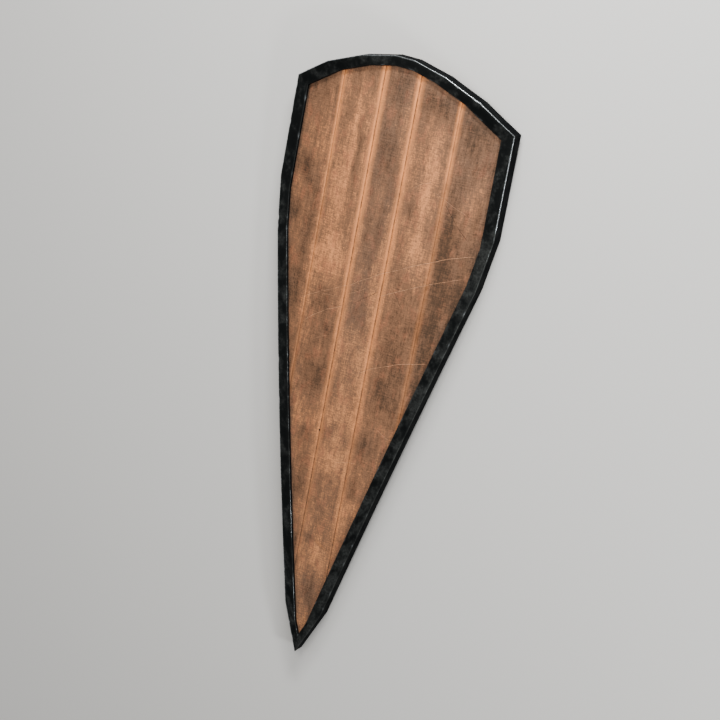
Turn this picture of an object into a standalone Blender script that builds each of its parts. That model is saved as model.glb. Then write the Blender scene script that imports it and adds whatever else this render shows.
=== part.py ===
"""Kite shield: five wooden planks held edge to edge in one iron rim of U section.

Metres, +Z up. The shield is drawn straight, point at Y = 0 and front face towards +Z, and is
then tipped by its resting tilt, so that it lies on its back with the front up: the two widest
corners and the point of the rim touch the ground at Z = 0. The origin ends up on the ground
under the middle of the shield's box.
"""

import math

import bmesh
import bpy
import numpy as np
from mathutils import Matrix

# Outline, down the right side from the crown to the point. Each corner gives its half-width,
# its height above the point and the width of the rim on the straight edge that follows it.
RIGHT_SIDE = (
    (0.019, 1.150, 0.017),
    (0.082, 1.136, 0.019),
    (0.152, 1.108, 0.023),
    (0.216, 1.067, 0.023),
    (0.218, 0.881, 0.020),
    (0.205, 0.787, 0.020),
    (0.039, 0.092, 0.014),
    (0.000, 0.000, None),
)
WIDEST_CORNER = 4
POINT_CORNER = 7

# The board: the centre plank is flat, and both sides curve back from it.
BEND_RADIUS = 0.500
PLANK_THICKNESS = 0.019
CENTRE_SEAM = 0.035
SIDE_SEAM = 0.116
FRONT_CHAMFER = 0.0035
BACK_CHAMFER = 0.0010
SEAM_GAP = 0.0003

# The rim: its flanges lie level, sit in a shallow rebate round the board and stand proud of
# both faces.
PROUD = 0.0045
REBATE = 0.0010
WEB = 0.0035
RIM_CHAMFER = 0.0012
FIT_GAP = 0.0003

# How far a cutter reaches past what it cuts.
REACH = 0.0200

# How finely the bend is followed.
STEP = 0.0140

WOOD = {"colour": (0.42, 0.23, 0.13, 1.0), "roughness": 0.62, "metallic": 0.0}
IRON = {"colour": (0.02, 0.023, 0.026, 1.0), "roughness": 0.42, "metallic": 0.9}


def bend(x):
    """How far the board has curved back at x: nothing over the centre plank, then a round arc."""
    beyond = np.maximum(np.abs(x) - CENTRE_SEAM, 0.0)
    return BEND_RADIUS - np.sqrt(BEND_RADIUS**2 - beyond**2)


def outline():
    """The closed outline, clockwise seen from the front, and the rim's width on each edge."""
    right = [corner[:2] for corner in RIGHT_SIDE]
    left = [(-x, y) for x, y in reversed(right[:-1])]
    widths = [corner[2] for corner in RIGHT_SIDE[:-1]]
    crown = RIGHT_SIDE[0][2]
    return np.array(right + left), np.array(widths + widths[::-1] + [crown])


def inset(corners, distances):
    """The corners with each edge moved inwards by its own distance."""
    along = np.roll(corners, -1, axis=0) - corners
    along /= np.linalg.norm(along, axis=1, keepdims=True)
    inwards = np.column_stack([along[:, 1], -along[:, 0]])
    moved = []
    for i, corner in enumerate(corners):
        normals = np.array([inwards[i - 1], inwards[i]])
        offsets = np.array([distances[i - 1], distances[i]])
        moved.append(np.linalg.solve(normals, normals @ corner + offsets))
    return np.array(moved)


def stations(corners, counts):
    """Points round the closed outline, each edge cut into its own count of equal steps."""
    following = np.roll(corners, -1, axis=0)
    return np.concatenate(
        [
            start + (end - start) * np.arange(count)[:, None] / count
            for start, end, count in zip(corners, following, counts)
        ]
    )


# A section that runs round the outline lists its points as the share of the rim's width and
# the further distance that they lie in from the outline, and their height over the board's
# front face at the rim's inner edge. The rim lies level across its width, though the board
# under it bends away, so that edge sets the height of the whole section.
def rim_section():
    """The rim's U section, a web outside and a flange over each face, its edges chamfered."""
    front = PROUD
    back = -PLANK_THICKNESS - PROUD
    front_seat = FIT_GAP - REBATE
    back_seat = REBATE - FIT_GAP - PLANK_THICKNESS
    return (
        (0, 0, front - RIM_CHAMFER),
        (0, RIM_CHAMFER, front),
        (1, -RIM_CHAMFER, front),
        (1, 0, front - RIM_CHAMFER),
        (1, 0, front_seat),
        (0, WEB, front_seat),
        (0, WEB, back_seat),
        (1, 0, back_seat),
        (1, 0, back + RIM_CHAMFER),
        (1, -RIM_CHAMFER, back),
        (0, RIM_CHAMFER, back),
        (0, 0, back + RIM_CHAMFER),
    )


OUTER_BACK_EDGE = 10


def seat_section():
    """What the planks lose to the rim: the rebates under both flanges, and all past the web."""
    back = -PLANK_THICKNESS
    return (
        (0, -REACH, REACH),
        (1, FIT_GAP, REACH),
        (1, FIT_GAP, -REBATE),
        (0, WEB + FIT_GAP, -REBATE),
        (0, WEB + FIT_GAP, back + REBATE),
        (1, FIT_GAP, back + REBATE),
        (1, FIT_GAP, back - REACH),
        (0, -REACH, back - REACH),
    )


def ring_points(section):
    """A section's points carried round the outline, as stations by points of the section, and
    each corner's station."""
    corners, widths = outline()
    across = np.abs(np.roll(corners, -1, axis=0) - corners)[:, 0]
    counts = np.maximum(np.ceil(across / STEP).astype(int), 1)
    level = -bend(stations(inset(corners, widths), counts)[:, 0])
    rings = []
    for share, further, height in section:
        ring = stations(inset(corners, share * widths + further), counts)
        rings.append(np.column_stack([ring, height + level]))
    return np.stack(rings, axis=1), np.concatenate([[0], np.cumsum(counts)[:-1]])


def resting_pose(points, corner_stations):
    """The turn and move that lay the straight shield on its two widest corners and its point."""
    point = points[corner_stations[POINT_CORNER], OUTER_BACK_EDGE]
    widest = points[corner_stations[WIDEST_CORNER], OUTER_BACK_EDGE]
    tilt = math.atan2(point[2] - widest[2], widest[1] - point[1])
    turn = Matrix.Rotation(tilt, 4, "X")
    turned = points.reshape(-1, 3) @ np.array(turn.to_3x3()).T
    low, high = turned.min(axis=0), turned.max(axis=0)
    return Matrix.Translation((0.0, -(low[1] + high[1]) / 2, -low[2])) @ turn


def material(name, finish):
    """A Principled material of one colour."""
    made = bpy.data.materials.new(name)
    made.use_nodes = True
    shader = made.node_tree.nodes["Principled BSDF"]
    shader.inputs["Base Color"].default_value = finish["colour"]
    shader.inputs["Roughness"].default_value = finish["roughness"]
    shader.inputs["Metallic"].default_value = finish["metallic"]
    made.diffuse_color = finish["colour"]
    return made


def add_object(name, mesh, collection, parent):
    """Links a mesh as an object that follows the resting pose."""
    made = bpy.data.objects.new(name, mesh)
    collection.objects.link(made)
    made.parent = parent
    return made


def ring_mesh(name, points):
    """Stations of section points joined as one closed ring."""
    around, section = points.shape[:2]
    shape = bmesh.new()
    grid = [[shape.verts.new(point) for point in station] for station in points]
    for i in range(around):
        here, there = grid[i], grid[(i + 1) % around]
        for j in range(section):
            k = (j + 1) % section
            shape.faces.new((here[j], here[k], there[k], there[j]))
    bmesh.ops.triangulate(shape, faces=shape.faces)
    bmesh.ops.recalc_face_normals(shape, faces=shape.faces)
    mesh = bpy.data.meshes.new(name)
    shape.to_mesh(mesh)
    shape.free()
    return mesh


def extruded(name, corners, depth):
    """A flat outline pulled up along Z by depth, half to each side, as a closed mesh."""
    flat = bpy.data.curves.new(name, "CURVE")
    flat.dimensions = "2D"
    flat.fill_mode = "BOTH"
    flat.extrude = depth / 2
    spline = flat.splines.new("POLY")
    spline.points.add(len(corners) - 1)
    for place, (x, y) in zip(spline.points, corners):
        place.co = (x, y, 0.0, 1.0)
    spline.use_cyclic_u = True
    source = bpy.data.objects.new(name, flat)
    bpy.context.scene.collection.objects.link(source)
    graph = bpy.context.evaluated_depsgraph_get()
    mesh = bpy.data.meshes.new_from_object(source.evaluated_get(graph))
    bpy.data.objects.remove(source)
    bpy.data.curves.remove(flat)
    shape = bmesh.new()
    shape.from_mesh(mesh)
    bmesh.ops.remove_doubles(shape, verts=shape.verts, dist=1e-6)
    bmesh.ops.recalc_face_normals(shape, faces=shape.faces)
    shape.to_mesh(mesh)
    shape.free()
    return mesh


def plank_section(left, right):
    """The section of one plank across the board: x and height, with chamfered edges."""
    bent = max(abs(left), abs(right)) > CENTRE_SEAM
    steps = round((right - left) / STEP) if bent else 1
    front = np.linspace(left + FRONT_CHAMFER, right - FRONT_CHAMFER, steps + 1)
    back = np.linspace(right - BACK_CHAMFER, left + BACK_CHAMFER, steps + 1)
    thick = PLANK_THICKNESS
    return [
        (left, -bend(left) - FRONT_CHAMFER),
        *zip(front, -bend(front)),
        (right, -bend(right) - FRONT_CHAMFER),
        (right, -bend(right) - thick + BACK_CHAMFER),
        *zip(back, -bend(back) - thick),
        (left, -bend(left) - thick + BACK_CHAMFER),
    ]


def add_cutter(name, mesh, collection, parent):
    """Links a mesh as a helper that only cuts the planks."""
    cutter = add_object(name, mesh, collection, parent)
    cutter.hide_render = True
    cutter.display_type = "WIRE"
    return cutter


def make_plank(name, left, right, wood, cutters, collection, parent):
    """One plank: its section run the length of the shield, then cut as each cutter says."""
    length = 2.2 * RIGHT_SIDE[0][1]
    mesh = extruded(name, plank_section(left, right), length)
    mesh.transform(Matrix.Rotation(math.pi / 2, 4, "X"))
    mesh.materials.clear()
    mesh.materials.append(wood)
    plank = add_object(name, mesh, collection, parent)
    for cutter, operation in cutters:
        cut = plank.modifiers.new(cutter.name, "BOOLEAN")
        cut.operation = operation
        cut.solver = "EXACT"
        cut.object = cutter
    return plank


def main():
    for old in list(bpy.data.objects):
        bpy.data.objects.remove(old)
    shield = bpy.data.collections.new("kite_shield")
    cutters = bpy.data.collections.new("cutters")
    for collection in (shield, cutters):
        bpy.context.scene.collection.children.link(collection)

    points, corner_stations = ring_points(rim_section())
    pose = bpy.data.objects.new("resting_pose", None)
    pose.matrix_world = resting_pose(points, corner_stations)
    shield.objects.link(pose)
    rim = add_object("rim", ring_mesh("rim", points), shield, pose)
    rim.data.materials.append(material("iron", IRON))

    prism = extruded("board_outline", outline()[0], 20 * REACH)
    seat = ring_mesh("rim_seat", ring_points(seat_section())[0])
    shaping = (
        (add_cutter("board_outline", prism, cutters, pose), "INTERSECT"),
        (add_cutter("rim_seat", seat, cutters, pose), "DIFFERENCE"),
    )

    wood = material("wood", WOOD)
    widest = RIGHT_SIDE[WIDEST_CORNER][0]
    seams = (-widest, -SIDE_SEAM, -CENTRE_SEAM, CENTRE_SEAM, SIDE_SEAM, widest)
    names = (
        "plank_left_outer",
        "plank_left_inner",
        "plank_centre",
        "plank_right_inner",
        "plank_right_outer",
    )
    for name, left, right in zip(names, seams, seams[1:]):
        make_plank(name, left + SEAM_GAP / 2, right - SEAM_GAP / 2, wood, shaping, shield, pose)


main()
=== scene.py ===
# %% [markdown]
# # A kite shield, piece by piece
#
# A kite shield is a long board with a round crown and a sharp point. This one is five wooden
# planks held edge to edge in an iron rim. The lesson makes each piece as a surface worked out
# with numpy, gives it a finish built from shader nodes, and lights it on a pale floor.
#
# The imported frame comes first. It holds the plain solids that carry the sizes, so the lesson
# measures it before anything is added.

# %% Open the frame
import math

import bpy
import numpy as np
from mathutils import Matrix, Vector


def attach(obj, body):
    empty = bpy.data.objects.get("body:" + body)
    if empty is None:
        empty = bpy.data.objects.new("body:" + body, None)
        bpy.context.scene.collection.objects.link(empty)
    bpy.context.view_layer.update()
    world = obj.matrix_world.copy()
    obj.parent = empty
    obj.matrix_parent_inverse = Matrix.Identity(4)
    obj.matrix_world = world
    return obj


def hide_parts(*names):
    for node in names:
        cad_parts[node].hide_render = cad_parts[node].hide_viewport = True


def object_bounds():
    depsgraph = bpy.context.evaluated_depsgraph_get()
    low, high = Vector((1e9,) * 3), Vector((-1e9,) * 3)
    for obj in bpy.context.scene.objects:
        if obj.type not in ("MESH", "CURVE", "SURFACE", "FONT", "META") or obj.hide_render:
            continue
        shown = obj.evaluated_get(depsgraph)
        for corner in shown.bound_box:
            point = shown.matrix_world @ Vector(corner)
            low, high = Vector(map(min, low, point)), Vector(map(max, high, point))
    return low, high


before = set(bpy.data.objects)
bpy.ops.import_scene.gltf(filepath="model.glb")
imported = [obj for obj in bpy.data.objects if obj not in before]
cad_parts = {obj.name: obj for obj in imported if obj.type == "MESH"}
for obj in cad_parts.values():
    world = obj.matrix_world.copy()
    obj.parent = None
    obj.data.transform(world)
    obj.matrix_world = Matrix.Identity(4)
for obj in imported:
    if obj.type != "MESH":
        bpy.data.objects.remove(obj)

frame_box = [list(corner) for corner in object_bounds()]
length_lying = frame_box[1][1] - frame_box[0][1]
print("nodes:", sorted(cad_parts))
print(f"the shield lies {length_lying:.3f} m long")

# %% [markdown]
# ## The driving sizes
#
# Everything follows from the outline, the bend of the board and the section of the rim. The
# outline is a chain of straight edges: a smith bends a bar at a few places and leaves it straight
# between them. Only the right half is listed, because the left half mirrors it.

# %% Sizes in metres
# Corners of the right half, crown to point: half-width, height above the point, and the rim's
# width on the edge that follows.
RIGHT_SIDE = (
    (0.019, 1.150, 0.017),
    (0.082, 1.136, 0.019),
    (0.152, 1.108, 0.023),
    (0.216, 1.067, 0.023),
    (0.218, 0.881, 0.020),
    (0.205, 0.787, 0.020),
    (0.039, 0.092, 0.014),
    (0.000, 0.000, None),
)
BEND_RADIUS = 0.500
PLANK_THICKNESS = 0.019
CENTRE_SEAM = 0.035
SIDE_SEAM = 0.116
SEAM_GAP = 0.0003
PROUD = 0.0045
REBATE = 0.0010
WEB = 0.0035
FIT_GAP = 0.0003
MM = 0.001

# %% [markdown]
# ## The bend of the board
#
# The centre plank is flat and the planks beside it curve back, as the staves of a barrel do.
# A flat middle joined to a round arc gives that with one radius. Working on whole arrays keeps
# the function short: it takes any number of places at once.

# %% Bend and outline
def bend(x):
    """Depth of the board behind its crest: none over the centre plank, then radius minus the
    square root of radius squared minus the distance past the seam squared."""
    beyond = np.maximum(np.abs(x) - CENTRE_SEAM, 0.0)
    return BEND_RADIUS - np.sqrt(BEND_RADIUS**2 - beyond**2)


def outline():
    """The closed outline, clockwise seen from the front, and the rim's width on each edge."""
    right = [corner[:2] for corner in RIGHT_SIDE]
    left = [(-x, y) for x, y in reversed(right[:-1])]
    widths = [corner[2] for corner in RIGHT_SIDE[:-1]]
    return np.array(right + left), np.array(widths + widths[::-1] + [RIGHT_SIDE[0][2]])


def directions(corners):
    """Unit steps along the closed chain of corners, one for each edge, and the unit steps that
    point inwards from the edges."""
    along = np.roll(corners, -1, axis=0) - corners
    along /= np.linalg.norm(along, axis=1, keepdims=True)
    return along, np.column_stack([along[:, 1], -along[:, 0]])


def inset(corners, distances):
    """Corners of the outline after each edge moves inwards by its own distance: each new corner
    is where the two moved edges cross, one 2 by 2 system per corner, all solved at once."""
    inwards = directions(corners)[1]
    normals = np.stack([np.roll(inwards, 1, axis=0), inwards], axis=1)
    offsets = np.column_stack([np.roll(distances, 1), distances])
    reach = np.einsum("nij,nj->ni", normals, corners) + offsets
    return np.linalg.solve(normals, reach[..., None])[..., 0]


CORNERS, RIM_WIDTHS = outline()
EDGE_LENGTHS = np.linalg.norm(np.roll(CORNERS, -1, axis=0) - CORNERS, axis=1)
print(f"{len(CORNERS)} corners, {EDGE_LENGTHS.sum():.3f} m round the rim")

# %% [markdown]
# ## Laying the shield down
#
# Each piece is drawn straight, point at the origin and front up, because that keeps the formulas
# plain. Lying on its back, the real shield tips until both widest corners and the point touch the
# ground. That turn is small, and it is worked out from the two heights that must become equal.

# %% The resting turn
RIM_BACK = -PLANK_THICKNESS - PROUD
RIM_CHAMFER = 0.0012
POINT_CORNER = 7
WIDEST_CORNER = 4


def resting_pose():
    """The 4 by 4 matrix that lays the straight shield down. Its tilt is the height from widest
    corner to point over the length between them, and its moves centre and ground the box."""
    edge = inset(CORNERS, np.full(len(CORNERS), RIM_CHAMFER))
    heights = RIM_BACK - bend(inset(CORNERS, RIM_WIDTHS)[:, 0])
    rise = heights[POINT_CORNER] - heights[WIDEST_CORNER]
    tilt = math.atan2(rise, edge[WIDEST_CORNER, 1] - edge[POINT_CORNER, 1])
    turn = Matrix.Rotation(tilt, 4, "X")
    flange = inset(CORNERS, RIM_WIDTHS - RIM_CHAMFER)[WIDEST_CORNER, 1]
    ground = flange * math.sin(tilt) + heights[WIDEST_CORNER] * math.cos(tilt)
    far = RIGHT_SIDE[0][1] * math.cos(tilt) - (RIM_BACK + RIM_CHAMFER) * math.sin(tilt)
    near = -(PROUD - RIM_CHAMFER) * math.sin(tilt)
    return Matrix.Translation((0.0, -(far + near) / 2, -ground)) @ turn


POSE = resting_pose()
TURN = np.array(POSE.to_3x3())
MOVE = np.array(POSE.translation)


def lay_down(points):
    """Straight places turned and moved into the resting pose."""
    return points @ TURN.T + MOVE


print(f"tilt {math.degrees(math.asin(TURN[2, 1])):.2f} degrees")

# %% [markdown]
# ## Unevenness
#
# Nothing made by hand is quite flat. A lattice of random heights, blended smoothly between its
# points, gives gentle waves of one size. Adding finer and weaker layers gives the broken look of
# stains. A seed fixes the numbers, so the shield is the same each time.
#
# Two plain curves limit things to their place: a bell fades on both sides, and a ramp rises from
# one place to another.

# %% Waves, clouds, bells and ramps
LATTICE = 256
FIRST_CELL = 1000.0
FINER_SHARE = 0.55


def waves(x, y, size_x, size_y, seed):
    """Random heights from -1 to 1 on a lattice of the given cell, blended across each cell with
    weights t * t * (3 - 2 * t). The lattice comes round again after 256 cells."""
    column = x / size_x + FIRST_CELL
    row = y / size_y + FIRST_CELL
    i = np.floor(column).astype(int)
    j = np.floor(row).astype(int)
    s = column - i
    t = row - j
    s = s * s * (3 - 2 * s)
    t = t * t * (3 - 2 * t)
    heights = np.random.default_rng(seed).uniform(-1.0, 1.0, (LATTICE, LATTICE))

    def blended(line):
        return heights[i % LATTICE, line] * (1 - s) + heights[(i + 1) % LATTICE, line] * s

    return blended(j % LATTICE) * (1 - t) + blended((j + 1) % LATTICE) * t


def clouds(x, y, size_x, size_y, seed, layers=4):
    """Waves of the given size plus finer ones, each half as large and 0.55 times as strong."""
    total = np.zeros(np.broadcast(x, y).shape)
    weight = 1.0
    whole = 0.0
    for layer in range(layers):
        total += weight * waves(x, y, size_x / 2**layer, size_y / 2**layer, seed + layer)
        whole += weight
        weight *= FINER_SHARE
    return total / whole


def bell(value, middle, wide):
    """exp(-r^2), where r is the distance from the middle over the width."""
    return np.exp(-(((value - middle) / wide) ** 2))


def ramp(value, start, end):
    """0 before the start, 1 past the end and straight between them. The end may be the smaller."""
    return np.clip((value - start) / (end - start), 0.0, 1.0)


# %% [markdown]
# ## From arrays to a mesh
#
# A grid of points becomes a mesh when each cell becomes a face. `foreach_set` hands whole arrays
# to Blender, which is far quicker than adding vertices one by one. Numbers that the finishes need
# later, such as how near a place is to an edge, ride along as attributes of the points.

# %% Mesh helpers
SHARP_ANGLE = 40.0


def grid_faces(rows, columns, closed):
    """Corner numbers of every cell of a grid whose point (i, j) has the number i * columns + j. A
    closed grid joins its last row and column to its first."""
    i = np.arange(rows if closed else rows - 1)
    j = np.arange(columns if closed else columns - 1)
    i, j = np.meshgrid(i, j, indexing="ij")
    up = (i + 1) % rows
    across = (j + 1) % columns
    cells = (i * columns + j, i * columns + across, up * columns + across, up * columns + j)
    return np.stack(cells, axis=-1).reshape(-1, 4)


def add_object(name, data):
    """A new object of the scene, at the origin."""
    made = bpy.data.objects.new(name, data)
    bpy.context.scene.collection.objects.link(made)
    return made


def make_mesh(name, straight, faces, attributes):
    """An object at the origin from straight points, four-cornered faces and named attributes."""
    mesh = bpy.data.meshes.new(name)
    mesh.vertices.add(len(straight))
    mesh.vertices.foreach_set("co", lay_down(straight).astype(np.float32).ravel())
    mesh.loops.add(faces.size)
    mesh.loops.foreach_set("vertex_index", faces.astype(np.int32).ravel())
    mesh.polygons.add(len(faces))
    mesh.polygons.foreach_set("loop_start", np.arange(0, faces.size, 4, dtype=np.int32))
    mesh.update(calc_edges=True)
    board = mesh.attributes.new("board", "FLOAT_VECTOR", "POINT")
    board.data.foreach_set("vector", straight.astype(np.float32).ravel())
    for key, values in attributes.items():
        kept = mesh.attributes.new(key, "FLOAT", "POINT")
        kept.data.foreach_set("value", values.astype(np.float32).ravel())
    mesh.shade_smooth()
    mesh.set_sharp_from_angle(angle=math.radians(SHARP_ANGLE))
    print(f"{name}: {len(straight)} points, {2 * len(faces)} triangles")
    return add_object(name, mesh)


# %% [markdown]
# ## The rim
#
# The rim is a U of iron folded over the board's edge. Its section is drawn once, with rounded
# corners, and carried round the outline. Each point of the section says how far in from the
# outline it lies, partly as a share of the rim's width, so one section serves the narrow crown
# and the wide sides. Where two edges meet, the moved edges cross, which mitres the corner.

# %% Section of the rim
EDGE_ROUND = 0.0008
INNER_ROUND = 0.0003
SECTION_STEP = 0.0020


def rounded(points, radii, steps=5):
    """A closed chain of corners with each one rounded: points from radius before it to radius
    after it, blended as (1-t)^2 * before + 2t(1-t) * corner + t^2 * after."""
    before = np.roll(points, 1, axis=0)
    after = np.roll(points, -1, axis=0)
    t = np.linspace(0.0, 1.0, steps)[None, :, None]

    def towards(end):
        span = end - points
        return points + span * (radii / np.linalg.norm(span, axis=1))[:, None]

    start = towards(before)[:, None]
    end = towards(after)[:, None]
    corner = points[:, None]
    return ((1 - t) ** 2 * start + 2 * t * (1 - t) * corner + t**2 * end).reshape(-1, 2)


def divided(lengths, step):
    """Stations along edges of these lengths, no more than a step apart: the number of each one's
    edge and its share of the way along it."""
    counts = np.ceil(lengths / step).astype(int)
    edge = np.repeat(np.arange(len(counts)), counts)
    place = np.arange(counts.sum()) - np.repeat(np.cumsum(counts) - counts, counts)
    return edge, place / counts[edge]


def filled(points, step):
    """The closed chain with points added, so that no stretch is longer than the step."""
    spans = np.roll(points, -1, axis=0) - points
    start, share = divided(np.linalg.norm(spans, axis=1), step)
    return points[start] + spans[start] * share[:, None]


def rim_section():
    """The U section as distance in from the outline, drawn for a typical width, and height."""
    wide = RIM_WIDTHS.mean()
    seat_front = FIT_GAP - REBATE
    seat_back = REBATE - FIT_GAP - PLANK_THICKNESS
    corners = [(0.0, PROUD), (wide, PROUD), (wide, seat_front), (WEB, seat_front)]
    corners += [(WEB, seat_back), (wide, seat_back), (wide, RIM_BACK), (0.0, RIM_BACK)]
    radii = np.array([EDGE_ROUND] * 2 + [INNER_ROUND] * 4 + [EDGE_ROUND] * 2)
    return filled(rounded(np.array(corners), radii), SECTION_STEP), wide


SECTION, SECTION_WIDTH = rim_section()
print(f"{len(SECTION)} points in the rim's section")

# %% [markdown]
# The section is carried round the outline in short steps. Each stop on the way is a station.

# %% Stations round the outline
RIM_STEP = 0.0030


def run_of_outline():
    """For each station: its edge, its share of the way along it and its distance in metres."""
    edge, share = divided(EDGE_LENGTHS, RIM_STEP)
    distance = (np.cumsum(EDGE_LENGTHS) - EDGE_LENGTHS)[edge] + share * EDGE_LENGTHS[edge]
    return edge, share, distance


def ring(distances, edge, share):
    """Places round the outline moved inwards by its edges' own distances."""
    corners = inset(CORNERS, distances)
    start = corners[edge]
    return start + (np.roll(corners, -1, axis=0)[edge] - start) * share[:, None]


# %% [markdown]
# The forge leaves its mark: the faces wave a little, and knocks have nicked the edges. Both are
# added as arrays, before the mesh exists. A nick is a small bell shape, deepest on the rounded
# edges, because that is where iron meets stone. Hands and cloth rub the same edges bare. The
# inner lip, beside the wood, is rubbed less, and mostly in patches down the left side.

# %% Nicks and rubbing
NICKS = 46
NICK_DEPTH = 0.0007
NICK_LENGTH = 0.0030
EDGE_WEAR = 0.0009
FRINGE = 0.30
FRINGE_REACH = 0.0035
RIGHT_SHOULDER = 0.90
LEFT_SHOULDER = 0.88
RIGHT_WEAR = 0.36
LIP_WEAR = 0.32
LEFT_LIP_WEAR = 0.50


def nick_depths(around):
    """Depths of the nicks on the outer edge and on the inner lip, for each station: bells at
    random places, which the two edges take in turn."""
    rng = np.random.default_rng(5)
    places = rng.uniform(0.0, EDGE_LENGTHS.sum(), NICKS)
    lengths = NICK_LENGTH * rng.uniform(0.5, 1.6, NICKS)
    depths = NICK_DEPTH * rng.uniform(0.2, 1.0, NICKS)
    bells = bell(around, places, lengths) * depths
    return bells[:, ::2].sum(axis=1)[:, None], bells[:, 1::2].sum(axis=1)[:, None]


def rubbing(plan, around, depth_in, height, right_below):
    """How rubbed each place is, from 0 to 1: a bell plus a wider fringe at each edge of the
    section, times the share of its side and its lip."""
    edges = [(d, h) for d in (0.0, SECTION_WIDTH) for h in (PROUD, RIM_BACK)]
    reach = np.min([np.hypot(depth_in - d, height - h) for d, h in edges], axis=0)
    wear = bell(reach, 0.0, EDGE_WEAR) + FRINGE * np.exp(-reach / FRINGE_REACH)
    left_below = (plan[..., 0] < 0.0) & (plan[..., 1] < LEFT_SHOULDER)
    patchy = LEFT_LIP_WEAR + 0.22 * clouds(around, 0.0, 0.070, 1.0, seed=17, layers=2)
    on_lip = np.where(left_below, patchy, LIP_WEAR)
    on_edge = np.where(right_below, RIGHT_WEAR, 1.0)
    return np.clip(wear * np.where(depth_in > SECTION_WIDTH / 2, on_lip, on_edge), 0.0, 1.0)


# %% [markdown]
# Now the rim can be made. Its waves are held back where sizes matter: on the back face they only
# take iron away, and they move the outer wall out by a tenth of a millimetre at most. Below the
# right shoulder the iron is more smudged.

# %% The rim itself
RIM_WAVE = 0.00018
OUTWARD_LIMIT = 0.0001
MORE_SMUDGED = 0.16
LESS_SMUDGED = -0.10


def make_rim():
    """The section carried round the outline: place = ring(inset of the point), height = the
    point's height minus the bend at the rim's inner edge, plus waves and nicks."""
    edge, share, distance = run_of_outline()
    around = distance[:, None]
    across = np.arange(len(SECTION))[None] * SECTION_STEP
    depth_in, height = SECTION.T
    stretch = (RIM_WIDTHS[:, None] - WEB) / (SECTION_WIDTH - WEB)
    insets = np.where(depth_in > WEB, WEB + (depth_in - WEB) * stretch, depth_in)
    plan = np.stack([ring(column, edge, share) for column in insets.T], axis=1)

    front = height > PROUD - 2 * EDGE_ROUND
    back = height < RIM_BACK + 2 * EDGE_ROUND
    outer = depth_in < 2 * EDGE_ROUND
    inner_lip = depth_in > SECTION_WIDTH - 2 * EDGE_ROUND
    wave = clouds(around, across, 0.045, 0.030, seed=11, layers=3) * RIM_WAVE
    outer_nick, lip_nick = nick_depths(around)
    outer_nick = outer_nick * (outer & front)
    lip_nick = lip_nick * (inner_lip & front)

    up = np.where(front, 1.0, np.where(back, -1.0, 0.0))
    level = -bend(ring(RIM_WIDTHS, edge, share)[:, :1])
    tall = level + height + up * (wave - RIM_WAVE * back) - outer_nick - lip_nick
    straight = np.concatenate([plan, tall[..., None]], axis=2)
    push = outer_nick + np.where(outer & ~(front | back), wave - RIM_WAVE, 0.0)
    inwards = directions(CORNERS)[1][edge]
    straight[..., :2] += np.maximum(push, -OUTWARD_LIMIT)[..., None] * inwards[:, None]

    right_below = (plan[..., 0] > 0.0) & (plan[..., 1] < RIGHT_SHOULDER)
    smudges = 0.5 + 0.5 * clouds(around, across, 0.020, 0.014, seed=13, layers=3)
    walls = (height < PROUD - EDGE_ROUND) & (height > RIM_BACK + EDGE_ROUND)
    attributes = {
        "wear": rubbing(plan, around, depth_in, height, right_below),
        "smudge": smudges + np.where(right_below, MORE_SMUDGED, LESS_SMUDGED),
        "knock": np.clip((outer_nick + lip_nick) / NICK_DEPTH, 0.0, 1.0),
        "wall": np.broadcast_to(walls.astype(float), plan.shape[:2]),
    }
    faces = grid_faces(*plan.shape[:2], closed=True)
    return make_mesh("iron_rim", straight.reshape(-1, 3), faces[:, ::-1], attributes)


rim = make_rim()
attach(rim, "root")
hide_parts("rim")

# %% [markdown]
# ## The planks
#
# A plank is a grid too. Its columns run with the grain, from the point's side of the outline to
# the crown's side, and its rows run across. Under the rim the wood steps down into a rebate, so
# each column has a stretch of rows for the lower rebate, one for the bare face and one for the
# upper rebate. That way the step follows the rim's slanting edge exactly.

# %% Where the wood shows
BOARD_EDGE = inset(CORNERS, np.full(len(CORNERS), WEB + FIT_GAP))
BARE_EDGE = inset(CORNERS, RIM_WIDTHS + FIT_GAP)


def ends_of_column(edge, x):
    """Lowest and highest place of an outline at x, read off its lower and upper chains."""
    upper = edge[: WIDEST_CORNER + 1]
    lower = edge[WIDEST_CORNER : POINT_CORNER + 1][::-1]
    across = np.abs(x)
    return np.interp(across, lower[:, 0], lower[:, 1]), np.interp(across, upper[:, 0], upper[:, 1])


def beside_rim(x, y):
    """Distance in from the nearest edge of the bare outline, below zero under the rim, and the
    height of the rim's level there, which is the bend where that edge is nearest."""
    along = directions(BARE_EDGE)[0]
    across = x[..., None] - BARE_EDGE[:, 0]
    up = y[..., None] - BARE_EDGE[:, 1]
    gaps = across * along[:, 1] - up * along[:, 0]
    gap = gaps.min(axis=-1)
    return gap, -bend(x - gap * along[gaps.argmin(axis=-1), 1])


print(f"bare wood: {2 * BARE_EDGE[:, 0].max():.3f} m wide")

# %% [markdown]
# The joiner planed the front edges of the planks off, so that each seam is a V-shaped groove.
# Years of handling rounded those edges. Across a plank the columns stand close together in the
# groove and wider apart on the face, which puts the triangles where the shape is.

# %% Columns across a plank
GROOVE = 0.0042
GROOVE_STEEPNESS = 0.36
GROOVE_ROUND = 0.0012
SIDE_SEAM_SHARE = 0.72
BACK_GROOVE = 0.0012
COLUMN_STEP = 0.0017
ROW_STEP = 0.0021
REBATE_ROWS = 3
NEAR_SEAM = np.array([0.0, 0.5, 1.0, 1.6, 2.2, 2.8, 3.4, 4.0, 4.7, 5.5, 6.4, 7.5]) * MM


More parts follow.
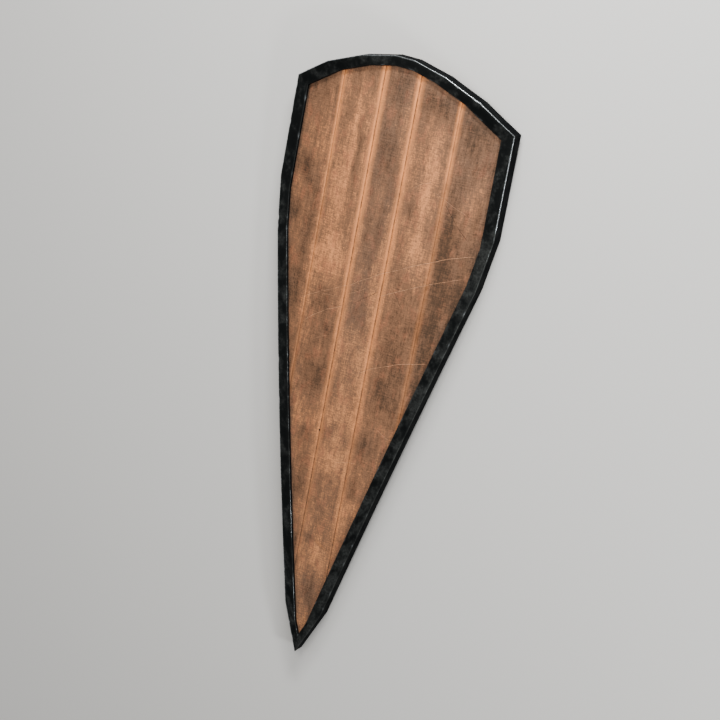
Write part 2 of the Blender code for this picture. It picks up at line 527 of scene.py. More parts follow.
def groove_depth(distance, wide, softness):
    """Depth of a planed edge: half the sum of (w - d) and the square root of (w - d)^2 +
    softness^2, less the tail that this leaves far from the edge."""
    left = wide - distance
    deep = (left + np.sqrt(left**2 + softness**2)) / 2
    tail = softness**2 / (4 * np.maximum(-left, softness))
    return np.maximum(deep - tail, 0.0) * (distance < 4 * wide)


def columns_between(left, right):
    """Places across a plank: close together near both seams, then evenly spaced."""
    inside = right - left - 2 * NEAR_SEAM[-1]
    even = np.linspace(0.0, 1.0, round(inside / COLUMN_STEP) + 1)[1:-1] * inside
    return np.concatenate([left + NEAR_SEAM, left + NEAR_SEAM[-1] + even, right - NEAR_SEAM[::-1]])


def column_rows(x, bare_rows):
    """Height along the shield of every row of every column: the lower rebate, the bare stretch
    and the upper rebate, each evenly divided."""
    board_low, board_high = ends_of_column(BOARD_EDGE, x)
    bare_low, bare_high = ends_of_column(BARE_EDGE, x)
    past = np.abs(x) > BARE_EDGE[WIDEST_CORNER, 0]
    middle = (bare_low + bare_high) / 2
    bare_low = np.where(past, middle, bare_low)
    bare_high = np.where(past, middle, bare_high)
    t = np.linspace(0.0, 1.0, bare_rows)[:, None]
    step = np.linspace(0.0, 1.0, REBATE_ROWS)[:, None]
    low = board_low + (bare_low - board_low) * step
    high = bare_high + (board_high - bare_high) * step
    return np.concatenate([low, bare_low + (bare_high - bare_low) * t, high])


# %% [markdown]
# ## Stains on the wood
#
# Damp, smoke and hands darken wood in long soft patches. The large patches are placed one by
# one, as soft ovals on the board, because their places give the shield its character. Clouds of
# random size break up their edges and fill the space between them.

# %% Patches
# Each patch: across, height above the point, half-width and half-length in millimetres, then its
# strength, dark below zero and pale above it. At its half-width and half-length a patch has lost
# half its strength.
PATCHES = (
    # centre plank
    (-12, 985, 11, 75, -0.75),
    (12, 1000, 8, 90, -0.4),
    (-10, 850, 12, 45, -0.5),
    (14, 880, 9, 60, -0.4),
    (-6, 770, 18, 35, -0.36),
    (0, 1090, 24, 36, -0.5),
    (-6, 660, 16, 40, -0.22),
    (-18, 458, 10, 12, -0.5),
    (-14, 318, 9, 40, -0.22),
    (15, 318, 8, 42, -0.3),
    (-16, 240, 10, 8, -0.8),
    (0, 145, 15, 24, -0.42),
    (4, 110, 12, 20, -0.48),
    # left planks
    (-170, 920, 12, 14, -0.8),
    (-158, 900, 7, 12, -0.3),
    (-133, 872, 8, 20, -0.35),
    (-172, 826, 10, 16, -0.75),
    (-136, 780, 7, 40, -0.55),
    (-146, 700, 16, 50, -0.45),
    (-190, 1045, 14, 24, -0.4),
    (-148, 1062, 16, 24, -0.45),
    (-68, 1105, 22, 18, -0.4),
    (-106, 600, 22, 50, -0.4),
    (-59, 985, 8, 60, -0.6),
    (-98, 1020, 10, 24, -0.35),
    (-55, 870, 7, 50, -0.3),
    (-80, 694, 20, 26, -0.7),
    (-64, 640, 16, 28, -0.4),
    (-72, 545, 22, 36, -0.7),
    (-68, 428, 14, 14, -0.7),
    (-56, 350, 9, 36, -0.5),
    (-148, 680, 12, 80, -0.35),
    (-50, 580, 12, 60, -0.4),
    (-42, 215, 8, 30, -0.7),
    # right planks
    (85, 1085, 26, 22, -0.7),
    (68, 958, 10, 12, -0.4),
    (62, 897, 9, 12, -0.35),
    (100, 855, 8, 18, -0.25),
    (52, 1030, 7, 50, -0.4),
    (56, 820, 7, 30, -0.3),
    (80, 640, 22, 60, -0.55),
    (84, 552, 22, 25, -0.75),
    (60, 452, 16, 22, -0.65),
    (54, 355, 10, 16, -0.6),
    (66, 695, 18, 26, -0.45),
    (72, 505, 30, 24, -0.32),
    (145, 1055, 26, 34, -0.75),
    (192, 1000, 10, 30, -0.35),
    (192, 870, 10, 50, -0.35),
    (168, 735, 10, 30, -0.35),
    (137, 876, 14, 42, -0.54),
    (138, 780, 16, 40, -0.5),
    (172, 790, 12, 30, -0.4),
    (135, 700, 20, 50, -0.5),
    (128, 590, 20, 60, -0.45),
    # pale places
    (-72, 985, 5, 85, 0.5),
    (-80, 780, 14, 30, 0.26),
    (-88, 880, 14, 40, 0.36),
    (86, 1000, 9, 35, 0.4),
    (84, 932, 13, 36, 0.6),
    (86, 835, 14, 42, 0.7),
    (165, 930, 12, 30, 0.45),
    (22, 730, 6, 50, 0.3),
    (4, 400, 20, 22, 0.4),
    (6, 490, 14, 30, 0.15),
    (4, 225, 16, 36, 0.4),
    (60, 322, 8, 16, 0.25),
    (-50, 470, 10, 20, 0.3),
)
print(f"{len(PATCHES)} patches")

# %% [markdown]
# The tone starts from a middle value. The outer planks are a little darker, and so are those on
# the right. Down the left side the wood beside the rim is shaded. Along the crown and the upper
# right a thin pale strip follows the rim.

# %% The tone of the wood
MIDDLE_TONE = 0.56
OUTER_DARKER = 0.09
RIGHT_DARKER = 0.13
PLANK_BLEND = 0.020
PATCH_STRENGTH = 0.68
PATCH_FALL = 0.70
# Each layer of clouds: strength, cell across and along the board, seed and number of layers.
TONE_CLOUDS = (
    (0.22, 0.022, 0.040, 41, 5),
    (0.20, 0.060, 0.070, 79, 2),
    (0.22, 0.006, 0.075, 47, 3),
)


def tone_of_wood(x, y):
    """Tone from 0, dark, to 1, pale: the planks' own tones, the patches as strength *
    exp(-0.7 * r^2) with edges shaken by clouds, the clouds themselves and the rim's shade."""
    shaken_x = (x + 0.005 * clouds(x, y, 0.016, 0.036, seed=31)) / MM
    shaken_y = (y + 0.018 * clouds(x, y, 0.016, 0.036, seed=37)) / MM
    tone = MIDDLE_TONE - OUTER_DARKER * ramp(np.abs(x), SIDE_SEAM, SIDE_SEAM + PLANK_BLEND)
    for seam in (CENTRE_SEAM, SIDE_SEAM):
        tone -= RIGHT_DARKER * ramp(x, seam, seam + PLANK_BLEND)
    for across, height, wide, long, strength in PATCHES:
        far = ((shaken_x - across) / wide) ** 2 + ((shaken_y - height) / long) ** 2
        tone += PATCH_STRENGTH * strength * np.exp(-far * PATCH_FALL)
    for strength, wide, long, seed, layers in TONE_CLOUDS:
        tone += strength * clouds(x, y, wide, long, seed, layers)
    to_rim = beside_rim(x, y)[0]
    tone -= 0.30 * bell(to_rim, 0.0, 0.007) * (x < 0)
    tone += 0.14 * bell(to_rim, 0.003, 0.003) * ((x > 0) & (y > 0.72) | (y > 1.06))
    return np.clip(tone, -0.2, 1.0)


# %% [markdown]
# Two more numbers ride along. Ash says how grey the air has turned the wood. Glow says how bare
# the planed edges are rubbed.

# %% Ash and glow
# How strongly each cause greys the wood.
ASH = {"middle": 0.76, "shoulder": 0.60, "rim": 0.95, "lower": 0.16, "point": 0.30, "cloud": 0.60}
BETWEEN_SEAMS = (CENTRE_SEAM + SIDE_SEAM) / 2


def ash_of_wood(x, y):
    """How grey the wood has gone, from 0 to 1: most on the middle of the board, its right
    shoulder and its point, and in a strip beside the rim, in soft clouds."""
    middle = np.exp(-((x / 0.034) ** 4)) * (0.5 + 0.5 * ramp(y, 0.40, 0.60))
    shoulder = bell(x, 0.13, 0.07) * bell(y, 1.02, 0.14)
    right_crown = ramp(y, 0.94, 1.04) * ramp(x, 0.0, 0.02)
    rim_strip = np.exp(-beside_rim(x, y)[0] / (0.005 + 0.015 * right_crown))
    total = ASH["middle"] * middle + ASH["shoulder"] * shoulder + ASH["rim"] * rim_strip
    total += ASH["lower"] * ramp(y, 0.52, 0.37) + ASH["point"] * ramp(y, 0.24, 0.0)
    total += ASH["cloud"] * clouds(x, y, 0.018, 0.050, seed=43)
    return np.clip(total, 0.0, 1.0)


def glow_of_seam(x, y):
    """How bare the planed edges are, from 0 to 1: more near the crown and beside the middle
    plank, duller halfway up the side seams, and broken along the seam."""
    fading = np.clip(1.15 * y - 0.14, 0.08, 1.0)
    dulled = np.clip(y - 0.20, 0.45, 0.80) * (1.0 - 0.4 * bell(y, 0.84, 0.08))
    fading *= np.where(np.abs(x) > BETWEEN_SEAMS, dulled, 1.0)
    return np.clip(fading * (0.80 + 0.45 * clouds(x, y, 0.014, 0.034, seed=73)), 0.0, 1.0)


# %% [markdown]
# ## Relief of the faces
#
# The front was planed and then lived with: it waves a little along the grain, each plank has
# shrunk to a slight hollow, and something once struck the lower end. The back was only dressed
# with an adze, which leaves shallow scallops across the grain.

# %% Relief
FACE_WAVE = 0.00022
GRAIN_WAVE = 0.00010
GOUGE_PLACE = (0.010, 0.226)
GOUGE_HALF_WIDTH = 0.017
GOUGE_HALF_LENGTH = 0.0032
GOUGE_SWAY = 0.004
GOUGE_DEPTH = 0.0011
SCALLOP_DEPTH = 0.00045
SCALLOP_LENGTH = 0.038


def front_relief(x, y):
    """Height of the front face: broad waves plus narrow ones along the grain, less one gouge,
    which is a bell shape bent by a sine."""
    relief = FACE_WAVE * clouds(x, y, 0.030, 0.110, seed=53, layers=3)
    relief += GRAIN_WAVE * waves(x, y, 0.0042, 0.090, seed=59)
    across = (x - GOUGE_PLACE[0]) / GOUGE_HALF_WIDTH
    line = GOUGE_PLACE[1] - GOUGE_SWAY * np.sin(2.0 * across)
    along = (y - line) / GOUGE_HALF_LENGTH
    return relief - GOUGE_DEPTH * np.exp(-(across**4) - along**2)


def back_relief(x, y):
    """Depth of the back face's adze marks: rows of scallops, |sin| of the height, whose rows
    wander with slow waves."""
    wander = 0.020 * waves(x, y, 0.050, 0.120, seed=61)
    wander += 0.008 * waves(x, y, 0.015, 0.050, seed=67)
    return SCALLOP_DEPTH * np.abs(np.sin(math.pi * (y + wander) / SCALLOP_LENGTH))


# %% [markdown]
# The front and back grids share their columns, so the walls between them are strips that reuse
# the outer points of both. Seen from above, the outside of the joined grids is one loop, which
# closes the plank without a gap.

# %% One plank
HOLLOW = 0.0003
SEAM_UNEVEN = 0.22
OUTER_CLEARANCE = 0.0004
# The bare strip is wider on the left edge of each plank, where this share of the distance counts.
LEFT_EDGE_SHARE = 0.78
SIDE_GRIME = 0.5


def plank_faces(rows, columns):
    """Faces of a closed plank whose back points are numbered after its front points: the front
    grid, the back grid turned over and the strip of walls round them."""
    cells = grid_faces(rows, columns, closed=False)
    numbers = np.arange(rows * columns).reshape(rows, columns)
    sides = [numbers[0, :-1], numbers[:-1, -1], numbers[-1, :0:-1], numbers[:0:-1, 0]]
    loop = np.concatenate(sides)
    following = np.roll(loop, -1)
    behind = rows * columns
    walls = np.column_stack([loop, loop + behind, following + behind, following])
    return np.concatenate([cells, cells[:, ::-1] + behind, walls])


def both_sides(x, y, to_rim, edge, narrow):
    """The numbers that ride on a plank's points, front then back. The back has a flatter tone
    and its planed edges are less bare."""
    tone = tone_of_wood(x, y)
    glow = glow_of_seam(x, y)
    front = {
        "seam": edge / narrow,
        "to_rim": to_rim,
        "tone": tone,
        "ash": ash_of_wood(x, y),
        "glow": glow,
        "grime": np.where(narrow < 1.0, SIDE_GRIME, 1.0),
        "front_side": np.ones(x.shape),
    }
    back = {**front, "tone": 0.35 + 0.4 * tone, "glow": 0.4 * glow, "front_side": np.zeros(x.shape)}
    return {key: np.stack([front[key], back[key]]) for key in front}


def make_plank(name, left, right):
    """Front height = relief - hollow - groove at the seams - bend, held down to the rebate under
    the rim. The back has its own relief and groove, one plank thickness further down."""
    widest = BOARD_EDGE[WIDEST_CORNER, 0] - OUTER_CLEARANCE
    x = columns_between(max(left, -widest), min(right, widest))
    longest = np.ptp(ends_of_column(BARE_EDGE, x), axis=0).max()
    y = column_rows(x, round(longest / ROW_STEP))
    x = np.broadcast_to(x, y.shape)
    row = np.arange(len(y))[:, None]
    under_rim = (row < REBATE_ROWS) | (row >= len(y) - REBATE_ROWS)
    under_rim = under_rim | (np.abs(x) > BARE_EDGE[WIDEST_CORNER, 0])
    to_rim, level = beside_rim(x, y)

    to_left = x - left
    to_right = right - x
    seam = np.minimum(to_left, to_right)
    uneven = 1.0 + SEAM_UNEVEN * waves(np.sign(x), y, 0.5, 0.020, seed=71)
    narrow = np.where(np.abs(x) > BETWEEN_SEAMS, SIDE_SEAM_SHARE, 1.0)
    groove = groove_depth(seam, GROOVE * uneven * narrow, GROOVE_ROUND)
    groove *= GROOVE_STEEPNESS * (0.30 + 0.70 * ramp(y, 0.0, 0.8))
    hollow = HOLLOW * np.sin(math.pi * ramp(x, left, right))
    front = front_relief(x, y) - hollow - groove - bend(x)
    front = np.where(under_rim, np.minimum(front, level - REBATE), front)

    back_groove = groove_depth(seam, BACK_GROOVE, GROOVE_ROUND / 2)
    back = back_groove + back_relief(x, y) - bend(x) - PLANK_THICKNESS
    back = np.where(under_rim, np.maximum(back, level - PLANK_THICKNESS + REBATE), back)

    points = np.stack([np.stack([x, y, height], axis=-1) for height in (front, back)])
    edge = np.minimum(to_left * LEFT_EDGE_SHARE, to_right)
    attributes = both_sides(x, y, to_rim, edge, narrow)
    return make_mesh(name, points.reshape(-1, 3), plank_faces(*x.shape), attributes)


# %% [markdown]
# Four seams part the board into five planks. The two outer planks end at the rim, so their far
# side is given as a place well past it.

# %% The five planks
PAST_RIM = 1.0
SEAMS = (-PAST_RIM, -SIDE_SEAM, -CENTRE_SEAM, CENTRE_SEAM, SIDE_SEAM, PAST_RIM)
PLANKS = ("left_outer", "left_inner", "centre", "right_inner", "right_outer")
planks = []
for place, left, right in zip(PLANKS, SEAMS, SEAMS[1:]):
    plank = make_plank("wood_" + place, left + SEAM_GAP / 2, right - SEAM_GAP / 2)
    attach(plank, "root")
    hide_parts("plank_" + place)
    planks.append(plank)

# %% [markdown]
# ## Writing materials as sums
#
# A material is a graph of nodes, but its maths reads better as an expression. `Signal` wraps one
# output. Adding or multiplying it adds a Math node, also when the number comes first, so that
# `1 - mask` works. `Paint` is the material, and every other node comes from its `node` method.

# %% The material helpers
class Signal:
    """One output of a node. Arithmetic on it adds Math nodes."""

    def __init__(self, paint, end):
        self.paint = paint
        self.end = end

    def math(self, operation, *values, clamp=False):
        settings = {"operation": operation, "use_clamp": clamp}
        return self.paint.node("ShaderNodeMath", settings, dict(enumerate(values)))

    def __add__(self, other):
        return self.math("ADD", self, other)

    def __sub__(self, other):
        return self.math("SUBTRACT", self, other)

    def __rsub__(self, other):
        return self.math("SUBTRACT", other, self)

    def __mul__(self, other):
        return self.math("MULTIPLY", self, other)

    def __truediv__(self, other):
        return self.math("DIVIDE", self, other)

    __radd__ = __add__
    __rmul__ = __mul__

    def clamped(self):
        return self.math("ADD", self, 0.0, clamp=True)

    def size(self):
        return self.math("ABSOLUTE", self)

    def falling(self, start, end):
        """1 at start, falling smoothly to 0 at end, or rising where end is the smaller."""
        settings = {"interpolation_type": "SMOOTHSTEP"}
        levels = {"Value": self, "From Min": start, "From Max": end, "To Min": 1.0, "To Max": 0.0}
        return self.paint.node("ShaderNodeMapRange", settings, levels)


class Paint:
    """A Principled material and the nodes that feed it."""

    def __init__(self, name, **constants):
        self.material = bpy.data.materials.new(name)
        self.material.use_nodes = True
        self.tree = self.material.node_tree
        self.shader = self.tree.nodes["Principled BSDF"]
        for key, value in constants.items():
            self.shader.inputs[key.replace("_", " ")].default_value = value

    def node(self, kind, settings=None, inputs=None, output=0):
        made = self.tree.nodes.new(kind)
        for key, value in (settings or {}).items():
            setattr(made, key, value)
        for key, value in (inputs or {}).items():
            self.feed(made.inputs[key], value)
        return Signal(self, made.outputs[output])

    def feed(self, socket, value):
        if isinstance(value, Signal):
            self.tree.links.new(value.end, socket)
        else:
            socket.default_value = value

    def drive(self, name, value):
        self.feed(self.shader.inputs[name], value)

    def number(self, name):
        """A number that rides on the mesh's points."""
        return self.node("ShaderNodeAttribute", {"attribute_name": name}, output="Fac")

    def place(self):
        """The straight place on the board, in metres."""
        return self.node("ShaderNodeAttribute", {"attribute_name": "board"}, output="Vector")

    def axis(self, place, number):
        """One coordinate of a place: 0 is X and 1 is Y."""
        return self.node("ShaderNodeSeparateXYZ", {}, {0: place}, output=number)

    def stretched(self, place, scale, shift=(0.0, 0.0, 0.0), turn=0.0):
        """The place scaled along each axis, then turned in the board's plane, then moved."""
        inputs = {"Vector": place, "Scale": scale, "Location": shift, "Rotation": (0.0, 0.0, turn)}
        return self.node("ShaderNodeMapping", {"vector_type": "POINT"}, inputs)

    def noise(self, place, cells, detail=3.0, roughness=0.55, turn=0.0):
        """Noise around 0.5 with that many cells to a metre along each axis."""
        scaled = self.stretched(place, cells, turn=turn)
        levels = {"Vector": scaled, "Scale": 1.0, "Detail": detail, "Roughness": roughness}
        return self.node("ShaderNodeTexNoise", {}, levels)

    def mix(self, share, first, second, blend="MIX"):
        """Two colours mixed by a share."""
        settings = {"data_type": "RGBA", "blend_type": blend, "clamp_factor": True}
        return self.node("ShaderNodeMix", settings, {0: share, 6: first, 7: second}, output=2)

    def bump(self, height, distance):
        """Normals of a height from 0 to 1 that spans a distance in metres."""
        return self.node("ShaderNodeBump", {}, {"Height": height, "Distance": distance})


def colour(red, green, blue):
    """A colour given as the eye reads it, from 0 to 255, in the linear light that shaders use."""
    shown = np.array([red, green, blue]) / 255
    linear = np.where(shown <= 0.04045, shown / 12.92, ((shown + 0.055) / 1.055) ** 2.4)
    return (*linear.tolist(), 1.0)


# %% [markdown]
# ## The wood's finish
#
# The tone on the mesh chooses between dark, middle and pale wood. Finer things come from noise,
# whose scale is the number of cells to a metre: streaks and fine grain stretched along the plank,
# faint rubbing and hairlines across it, and mottling between the two. Old wood turns grey, so the
# ash number tints it by multiplying, which keeps the grain. The planed edges of the seams are
# paler, because hands and cloth keep them bare, and the bottom of each seam holds dirt.
#
# Long scratches cross the planks. Each is a line laid on the board by turning and moving the
# place, which costs a few nodes and no geometry. Some are pale cuts and some have filled with
# dirt, which a strength below zero says.

# %% Scratches
# Each scratch in millimetres: from across and height to across and height, how far its middle bows
# upwards and its width. Last comes its strength, below zero for a line filled with dirt.
SCRATCHES = (
    (-28, 732, 63, 789, 2, 1.0, 0.8),
    (63, 789, 190, 846, 4, 1.2, 0.74),
    (-122, 680, -28, 732, 2, 0.9, 0.6),
    (30, 727, 176, 802, 3, 1.1, 0.72),
    (-108, 641, -34, 691, 3, 1.0, 0.85),
    (-28, 716, 6, 736, 0, 0.9, 0.6),
    (22, 578, 66, 606, 2, 1.0, 0.7),
    (66, 606, 144, 633, 3, 1.1, 0.9),
    (98, 940, 172, 908, 0, 0.8, 0.55),
    (60, 938, 92, 955, 2, 0.9, 0.6),
    (78, 488, 104, 474, 0, 0.9, 0.6),
    (-55, 628, -82, 612, 0, 0.9, 0.5),
    (10, 398, 48, 410, 1, 0.9, 0.45),
    (-80, 700, -46, 704, 1, 0.8, 0.5),
    (120, 925, 172, 868, -2, 0.9, -0.9),
    (58, 748, 78, 722, 0, 0.9, -0.8),
    (124, 962, 158, 935, 0, 0.7, -0.5),
    (-8, 706, 30, 736, 1, 0.7, -0.6),
)
# A scratch fades between these shares of its length, counted from its middle.
FADE_START = 0.42
FADE_END = 0.52


def scratch(paint, place, sizes, strength):
    """A thin line that fades at its ends: the place is moved to the line's start and turned until
    the line lies along X. The distance to the line is then the size of Y less the bow, which is
    4 * bow * t * (1 - t) at the share t of the length."""
    start_x, start_y, end_x, end_y, bow, wide = (size * MM for size in sizes)
    length = math.hypot(end_x - start_x, end_y - start_y)
    turn = -math.atan2(end_y - start_y, end_x - start_x)
    start = Matrix.Rotation(turn, 3, "Z") @ Vector((start_x, start_y, 0.0))
    turned = paint.stretched(place, (1.0, 1.0, 1.0), -start, turn)
    share = paint.axis(turned, 0) / length
    off = paint.axis(turned, 1) - share * (1 - share) * (4 * bow)
    line = off.size().falling(0.0, wide)
    inside = (share - 0.5).size().falling(FADE_START, FADE_END)
    return line * inside * strength


print(f"{len(SCRATCHES)} scratches")

# %% Colours and patterns of the wood
PALE_WOOD = colour(220, 141, 86)
MIDDLE_WOOD = colour(130, 91, 65)
DARK_WOOD = colour(68, 49, 34)
ASH_TINT = (0.62, 0.78, 1.00, 1.0)
BLUSH_WOOD = colour(172, 102, 70)
EDGE_WOOD = colour(240, 150, 86)
SCRATCH_WOOD = colour(198, 142, 104)
SEAM_DIRT = colour(76, 57, 44)
# Near-black painted shade: the shadow line where the wood meets the rim and the inside of the hole.
PAINTED_SHADE = colour(18, 14, 12)

# Each pattern: cells to a metre across, along and through the board, layers of detail and how
# rough they are.
WOOD_PATTERNS = {
    "streaks": ((130.0, 9.0, 20.0), 3.0, 0.55),
    "grain": ((560.0, 60.0, 60.0), 3.0, 0.60),
    "rubbing": ((70.0, 460.0, 60.0), 3.0, 0.60),
    "mottle": ((110.0, 65.0, 40.0), 5.0, 0.65),
    "speckle": ((420.0, 320.0, 60.0), 3.0, 0.60),
    "blush": ((60.0, 30.0, 30.0), 4.0, 0.60),
    "crack": ((9.0, 90.0, 9.0), 4.0, 0.55),
    "wander": ((30.0, 30.0, 30.0), 2.0, 0.55),
}
# Three sets of hairlines across the planks. The turn comes after the scaling, so it doesn't slant
# the lines and only makes the sets differ.
HAIR_CELLS = (22.0, 520.0, 9.0)
HAIR_TURNS = (-0.42, -0.20, 0.26)

# How far the patterns move the tone. The fine ones move pale wood more than dark.
BROAD_SHARES = {"streaks": 0.28, "mottle": 0.85}
FINE_SHARES = {"speckle": 1.28, "grain": 1.28, "rubbing": 1.10}
HAIR_SHARES = (0.12, 0.12, -0.14)

# How far the patterns raise the surface, and how high the whole relief is.
RELIEF_SHARES = {"grain": 0.25, "rubbing": 0.30, "streaks": 0.20, "mottle": 0.30}
SCRATCH_DEPTH = 1.4
RELIEF_HEIGHT = 0.0005


# %% The aged face
def swings(noise, shares):
    """The sum of the named patterns, each less 0.5 and times its share."""
    return sum((noise[name] - 0.5) * share for name, share in shares.items())


def aged_wood(paint, place, tone, noise):
    """Colour of the face. The tone plus the patterns gives a level, which chooses between dark,
    middle and pale wood. Blushes redden it, and the ash number multiplies it with a cold tint."""
    level = tone + swings(noise, BROAD_SHARES) + swings(noise, FINE_SHARES) * (0.66 + tone * 0.42)
    for turn, share in zip(HAIR_TURNS, HAIR_SHARES):
        strands = paint.noise(place, HAIR_CELLS, detail=1.0, turn=turn)
        level = level + (1 - strands.falling(0.60, 0.72)) * share
    wood = paint.mix(1 - level.falling(0.36, 1.22), MIDDLE_WOOD, PALE_WOOD)
    wood = paint.mix((1 - noise["blush"].falling(0.50, 0.68)) * 0.34, wood, BLUSH_WOOD)
    wood = paint.mix(level.falling(-0.42, 0.54), wood, DARK_WOOD)
    ash = (paint.number("ash") * (0.55 + (noise["mottle"] - 0.5) * 1.2)).clamped()
    return paint.mix(ash, wood, ASH_TINT, blend="MULTIPLY")


# %% Seams, scratches and the hole
SCRATCH_SWAY = 0.006
NAIL_HOLE = (-0.0355, 0.4475, 0.0)
HOLE_RADIUS = 0.0012
HOLE_EDGE = 0.0022


def worn_seams(paint, wood, noise):
    """The wood with its planed edges: a broad glow and a narrow bare strip beside each seam, both
    broken up by the patterns, and dirt in the bottom of the seam."""
    seam = paint.number("seam")
    glow = seam.falling(0.0030, 0.0105) * (0.34 + noise["mottle"] * 0.36)
    broken = 0.20 + noise["speckle"] * 0.50 + (noise["streaks"] - 0.5) * 1.2
    bare = seam.falling(0.0022, 0.0050) * broken
    wood = paint.mix(((glow + bare) * paint.number("glow")).clamped(), wood, EDGE_WOOD)
    crack = noise["crack"].falling(0.70, 0.34)
    dirt = seam.falling(0.0002, 0.0013) * (0.36 + crack * 0.58) * paint.number("grime")
    return paint.mix(dirt.clamped(), wood, SEAM_DIRT)


def all_scratches(paint, place, noise):
    """The scratches of the front added up, above zero pale and below zero dirty. The place sways
    with noise, so that no line is quite straight, and the mottling breaks the lines up."""
    sway = paint.node("ShaderNodeCombineXYZ", {}, {1: (noise["wander"] - 0.5) * SCRATCH_SWAY})
    bent = paint.node("ShaderNodeVectorMath", {"operation": "ADD"}, {0: place, 1: sway})
    lines = sum(scratch(paint, bent, sizes, strength) for *sizes, strength in SCRATCHES)
    return lines * paint.number("front_side") * (noise["mottle"] * 2.6 - 0.45)


def nail_hole(paint, place):
    """1 inside the one round hole of the front, falling to 0 at its edge."""
    ends = {0: paint.stretched(place, (1.0, 1.0, 0.0)), 1: NAIL_HOLE}
    gap = paint.node("ShaderNodeVectorMath", {"operation": "DISTANCE"}, ends, output="Value")
    return gap.falling(HOLE_RADIUS, HOLE_EDGE) * paint.number("front_side")


# %% Wood
def make_wood():
    """Base colour, roughness and bump of the planks."""
    paint = Paint("old_wood", Roughness=0.6, Specular_IOR_Level=0.25)
    place = paint.place()
    tone = paint.number("tone")
    noise = {name: paint.noise(place, *pattern) for name, pattern in WOOD_PATTERNS.items()}
    scratches = all_scratches(paint, place, noise)

    wood = worn_seams(paint, aged_wood(paint, place, tone, noise), noise)
    wood = paint.mix((scratches * 0.75).clamped(), wood, SCRATCH_WOOD)
    wood = paint.mix((scratches * -0.75).clamped(), wood, SEAM_DIRT)
    # A thin painted shadow line where the wood meets the rim.
    wood = paint.mix(paint.number("to_rim").falling(0.0006, 0.0013), wood, PAINTED_SHADE)
    # The nail hole is painted dark as the shade inside it; the mesh has no hole there.
    wood = paint.mix(nail_hole(paint, place), wood, PAINTED_SHADE)
    paint.drive("Base Color", wood)
    paint.drive("Roughness", 0.64 + (1 - tone) * 0.16 + (noise["mottle"] - 0.5) * 0.18)
    relief = sum(noise[name] * share for name, share in RELIEF_SHARES.items())
    relief = relief - scratches.size() * SCRATCH_DEPTH
    paint.drive("Normal", paint.bump(relief, RELIEF_HEIGHT))
    print(f"old_wood: {len(paint.tree.nodes)} nodes")
    return paint.material


wood_finish = make_wood()
for plank in planks:
    plank.data.materials.append(wood_finish)

# %% [markdown]
# ## The iron's finish
#
# Old iron is nearly black where the forge scale holds and shows dull metal where it is rubbed.
# A metal with a very dark colour gives that: it mirrors little from the front and more along
# its edges. The wear attribute picks out the rounded edges, and noise keeps them from looking
# painted on. The upright walls are mixed towards near-black, a painted shade, and made rougher.

# %% Iron
SCALE_BLACK = colour(33, 35, 35)
SCALE_GREY = colour(80, 82, 80)
BARE_IRON = colour(176, 181, 184)
# Near-black painted shade for the upright walls of the rim.
PAINTED_WALL_SHADE = colour(16, 17, 19)
IRON_PATTERNS = {
    "smudges": ((60.0, 45.0, 60.0), 5.0, 0.60),
    "scale": ((240.0, 240.0, 240.0), 4.0, 0.65),
    "hammer": ((85.0, 85.0, 85.0), 1.0, 0.55),
}


def make_iron():
    """Base colour, roughness and bump of the rim."""
    paint = Paint("forged_iron", Metallic=1.0, Specular_Tint=(0.6, 0.6, 0.6, 1.0))
    place = paint.place()
    noise = {name: paint.noise(place, *pattern) for name, pattern in IRON_PATTERNS.items()}
    scale = noise["scale"]
    wear = paint.number("wear")
    wall = paint.number("wall")

    smudges = noise["smudges"] * 0.7 + paint.number("smudge") * 0.3
    grey = 1 - smudges.falling(0.42, 0.68)
    grey = (grey * (scale * 2.6 - 0.55) + wear * 0.55).clamped()
    iron = paint.mix(grey, SCALE_BLACK, SCALE_GREY)
    rubbed = (wear * 1.30 + (scale - 0.5) * 0.9 + (smudges - 0.5) * 0.8).falling(1.10, 0.60)
    rubbed = (rubbed + paint.number("knock") * 0.6).clamped()
    iron = paint.mix(rubbed * 0.9, iron, BARE_IRON)
    # Painted shade: the upright walls go near-black.
    iron = paint.mix(wall * 0.8, iron, PAINTED_WALL_SHADE)

    paint.drive("Base Color", iron)
    rough = 0.46 + (scale - 0.5) * 0.25 - rubbed * 0.20 + wall * 0.40
    paint.drive("Roughness", rough.clamped())
    paint.drive("Normal", paint.bump(noise["hammer"] * 0.7 + scale * 0.3, RELIEF_HEIGHT))
    print(f"forged_iron: {len(paint.tree.nodes)} nodes")
    return paint.material


rim.data.materials.append(make_iron())

# %% [markdown]
# ## Floor, light and camera
#
# The shield lies on a pale floor. A broad light hangs high beyond the crown and lights the wood.
# Two narrow ones stand low, beyond the crown and beyond the right side: the rounded edge of the
# rim mirrors them as a thin bright line. A weak even sky fills the shadows. It is weak because
# the flat iron mirrors it, and the iron has to stay dark.

# %% Stage
FLOOR_HALF = 40.0
SKY_TINT = (0.97, 0.98, 1.0, 1.0)
SKY_STRENGTH = 0.34
# Each light: name, place, what it points at, width, height, power and tint.
LIGHTS = (
    ("top_light", (0.45, 1.50, 2.50), (0.0, 0.1, 0.0), 1.6, 1.6, 60.0, (1.0, 0.98, 0.95)),
    ("side_light", (2.42, -0.45, 1.10), (0.2, 0.4, 0.0), 0.5, 0.3, 34.0, (0.95, 0.98, 1.0)),
    ("crown_light", (0.32, 2.45, 1.03), (0.1, 0.5, 0.0), 1.2, 0.3, 90.0, (0.97, 0.99, 1.0)),
)


def make_floor():
    """A wide square under the shield, of pale matt plaster."""
    ends = (-FLOOR_HALF, FLOOR_HALF)
    corners = [(x, y, 0.0) for x in ends for y in ends]
    mesh = bpy.data.meshes.new("floor")
    mesh.from_pydata(corners, [], [(0, 2, 3, 1)])
    paint = Paint("pale_floor", Roughness=0.9, Base_Color=colour(214, 212, 208))
    mesh.materials.append(paint.material)
    add_object("floor", mesh)


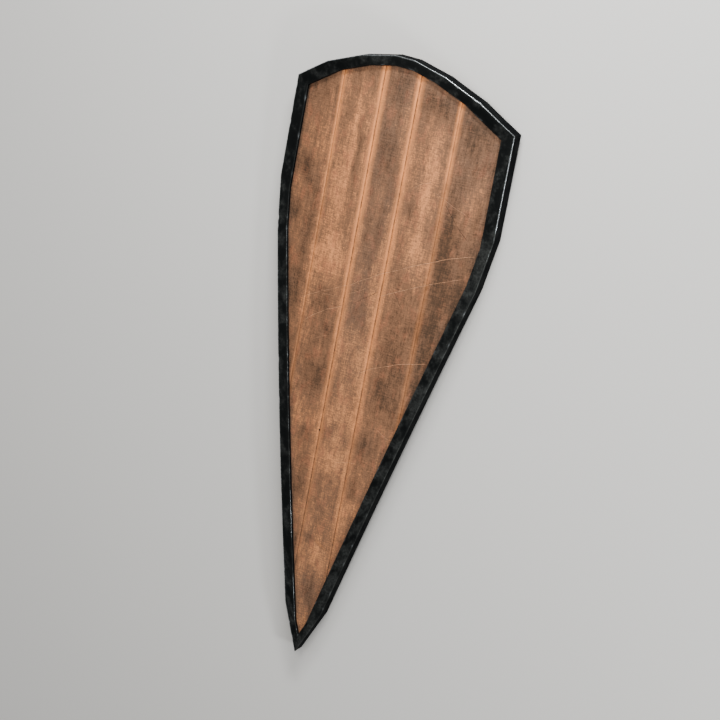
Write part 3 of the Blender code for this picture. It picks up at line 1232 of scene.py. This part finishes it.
def add_light(name, place, target, wide, tall, power, tint):
    """A soft light of that width and height in metres, pointed at the target."""
    data = bpy.data.lights.new(name, "AREA")
    data.shape = "RECTANGLE"
    data.size = wide
    data.size_y = tall
    data.energy = power
    data.color = tint
    turn = (Vector(target) - Vector(place)).to_track_quat("-Z", "Y")
    add_object(name, data).matrix_world = Matrix.Translation(place) @ turn.to_matrix().to_4x4()


def make_sky():
    """An even grey sky."""
    world = bpy.data.worlds.new("sky")
    world.use_nodes = True
    background = world.node_tree.nodes["Background"]
    background.inputs["Color"].default_value = SKY_TINT
    background.inputs["Strength"].default_value = SKY_STRENGTH
    bpy.context.scene.world = world


make_floor()
make_sky()
for light in LIGHTS:
    add_light(*light)
print(f"{len(LIGHTS)} lights over a floor {2 * FLOOR_HALF:.0f} m wide")

# %% [markdown]
# The camera looks down on the lying shield from beyond its right shoulder, and is rolled so that
# the crown stays on top. Its place is a direction and a distance from the middle of the board.

# %% Camera
AIM = (0.020, 0.604, 0.0)
DISTANCE = 3.20
TOWARDS_CAMERA = (0.422, 0.326, 0.846)
UPWARDS = (-0.309, 0.929, -0.204)
LENS = 89.2
SENSOR_WIDTH = 36.0


def make_camera():
    """A camera whose right, up and back axes are the columns of its matrix, on the straight
    shield's axes, and which is laid down with the shield."""
    back = np.array(TOWARDS_CAMERA)
    back /= np.linalg.norm(back)
    right = np.cross(UPWARDS, back)
    right /= np.linalg.norm(right)
    up = np.cross(back, right)
    matrix = np.eye(4)
    matrix[:3] = np.column_stack([right, up, back, np.array(AIM) + DISTANCE * back])
    data = bpy.data.cameras.new("camera")
    data.lens = LENS
    data.sensor_width = SENSOR_WIDTH
    camera = add_object("camera", data)
    camera.matrix_world = POSE @ Matrix(matrix.tolist())
    bpy.context.scene.camera = camera


make_camera()
print(f"camera {DISTANCE:.2f} m from the board, with a lens of {LENS:.1f} mm")

# %% [markdown]
# ## The frame's box
#
# The finished pieces must fill the same box as the frame. The frame's box, measured at the start,
# is written down.

# %% The frame's box
print("frame box", np.round(frame_box, 4).tolist())
